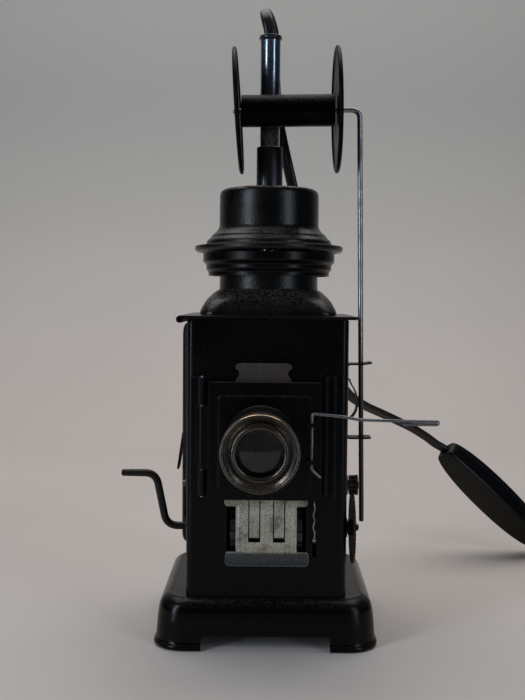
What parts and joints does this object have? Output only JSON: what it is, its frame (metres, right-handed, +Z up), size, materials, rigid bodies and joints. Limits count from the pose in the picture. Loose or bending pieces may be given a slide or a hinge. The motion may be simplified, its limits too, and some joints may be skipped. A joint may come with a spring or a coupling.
{
  "type": "magic lantern",
  "caption": "Electric toy magic lantern for film strips, with a chimney, hinged lens board, hand-cranked film drive and a reel on a wire arm.",
  "frame": {"origin": "middle of the lantern's own footprint on the surface that it stands on, lead, switch and plug left out", "axes": "+Z up along the chimney, the lens faces -Y, +X is the side of the gear and the reel arm"},
  "size_m": [0.3072, 0.2055, 0.2796],
  "materials": {
    "black_japan": "aged black japan over tinplate, satin gloss with fine pitting and brown worn edges",
    "worn_japan": "heat-worn black japan, browner and duller, with rubbed edges",
    "tin_plate": "aged bare tinplate, speckled cream grey",
    "nickel_plate": "worn nickel plate, soft polish",
    "steel_wire": "drawn steel wire, darkened",
    "tarnished_brass": "brown tarnished brass",
    "clear_glass": "polished lens glass",
    "opal_glass": "frosted bulb glass",
    "porcelain": "glazed cream porcelain",
    "lead_sheath": "dark grey flat twin lead, satin",
    "moulded_black": "olive black moulded plastic, satin with glossy edges"
  },
  "bodies": {
    "lantern": {"base_plinth": "black_japan", "lamp_house_shell": "black_japan", "lamp_house_floor": "black_japan", "door_hinge": "black_japan", "door_hinge_pin": "steel_wire", "roof_plate": "black_japan", "chimney_dome": "worn_japan", "chimney_skirt": "black_japan", "chimney_crown": "worn_japan", "lamp_sleeve": "black_japan", "lamp_tube": "black_japan", "tube_bush": "black_japan", "lamp_socket": "porcelain", "bulb_cap": "nickel_plate", "bulb_glass": "opal_glass", "condenser_ring": "nickel_plate", "condenser_lens": "clear_glass", "condenser_plate": "black_japan", "gate_frame": "black_japan", "film_track": "tin_plate", "board_hinge_rail": "black_japan", "board_catch_rail": "black_japan", "shoe_catch_pin": "steel_wire", "board_hinge_pin": "steel_wire", "crank_bush_right": "tarnished_brass", "crank_bush_left": "tarnished_brass", "pinion_bush_right": "tarnished_brass", "pinion_bush_left": "tarnished_brass", "clip_bracket": "black_japan", "clip_spring": "steel_wire", "switch_lower_shell": "moulded_black", "switch_upper_shell": "moulded_black", "lamp_cord": "lead_sheath", "mains_cord": "lead_sheath", "cord_coil": "lead_sheath", "mains_plug": "moulded_black"},
    "shoe": {"film_shoe": "tin_plate"},
    "board": {"lens_board": "black_japan", "lens_sleeve": "black_japan", "lever_bracket": "black_japan"},
    "lens": {"lens_tube": "worn_japan", "lens_front_ring": "nickel_plate", "front_lens": "clear_glass", "rear_lens": "clear_glass"},
    "pressure_frame": {"film_pressure_frame": "tin_plate"},
    "lever": {"wire_lever": "steel_wire"},
    "door": {"side_door": "black_japan"},
    "crank": {"crank_shaft": "black_japan", "sprocket_drum": "worn_japan", "sprocket_wheel_left": "tarnished_brass", "sprocket_wheel_right": "tarnished_brass", "drive_gear": "tarnished_brass"},
    "beater": {"pinion_shaft": "steel_wire", "pinion": "tarnished_brass", "beater_frame": "steel_wire"},
    "arm": {"reel_arm": "steel_wire"},
    "reel": {"reel_core": "black_japan", "reel_flange_left": "black_japan", "reel_flange_right": "black_japan"},
    "rocker": {"switch_rocker": "moulded_black"}
  },
  "joints": [
    {"name": "crank_spin", "type": "hinge", "parent": "lantern", "child": "crank", "pos_m": [-0.00372, -0.00605, 0.0483], "axis": [1, 0, 0], "continuous": true},
    {"name": "beater_spin", "type": "hinge", "parent": "lantern", "child": "beater", "pos_m": [-0.00372, -0.00605, 0.0669], "axis": [1, 0, 0], "continuous": true},
    {"name": "board_open", "type": "hinge", "parent": "lantern", "child": "board", "pos_m": [-0.03072, -0.02345, 0.0888], "axis": [0, 0, 1], "range_deg": [-100, 0]},
    {"name": "lens_focus", "type": "slide", "parent": "board", "child": "lens", "axis": [0, -1, 0], "range_m": [-0.008, 0.006]},
    {"name": "gate_press", "type": "slide", "parent": "board", "child": "pressure_frame", "axis": [0, -1, 0], "range_m": [0, 0.0012], "stiffness_N_per_m": 200},
    {"name": "lever_turn", "type": "hinge", "parent": "board", "child": "lever", "pos_m": [0.01468, -0.02825, 0.0888], "axis": [0, 0, 1], "range_deg": [-85, 0]},
    {"name": "shoe_lift", "type": "slide", "parent": "lantern", "child": "shoe", "axis": [0, -1, 0], "range_m": [0, 0.0015], "stiffness_N_per_m": 400},
    {"name": "door_open", "type": "hinge", "parent": "lantern", "child": "door", "pos_m": [-0.03992, 0.05025, 0.087], "axis": [0, 0, 1], "range_deg": [-110, 0]},
    {"name": "reel_height", "type": "slide", "parent": "lantern", "child": "arm", "axis": [-0.0175, 0, 0.9998], "range_m": [-0.005, 0.035]},
    {"name": "reel_spin", "type": "hinge", "parent": "arm", "child": "reel", "pos_m": [0.03518, 0.00195, 0.22917], "axis": [0.9998, 0, 0.0175], "continuous": true},
    {"name": "switch_rock", "type": "hinge", "parent": "lantern", "child": "rocker", "pos_m": [0.12789, 0.13513, 0.03886], "axis": [-0.5552, 0.701, -0.4477], "range_deg": [-7, 0]}
  ],
  "couplings": [
    {"joint": "beater_spin", "follows": "crank_spin", "ratio": -4}
  ]
}
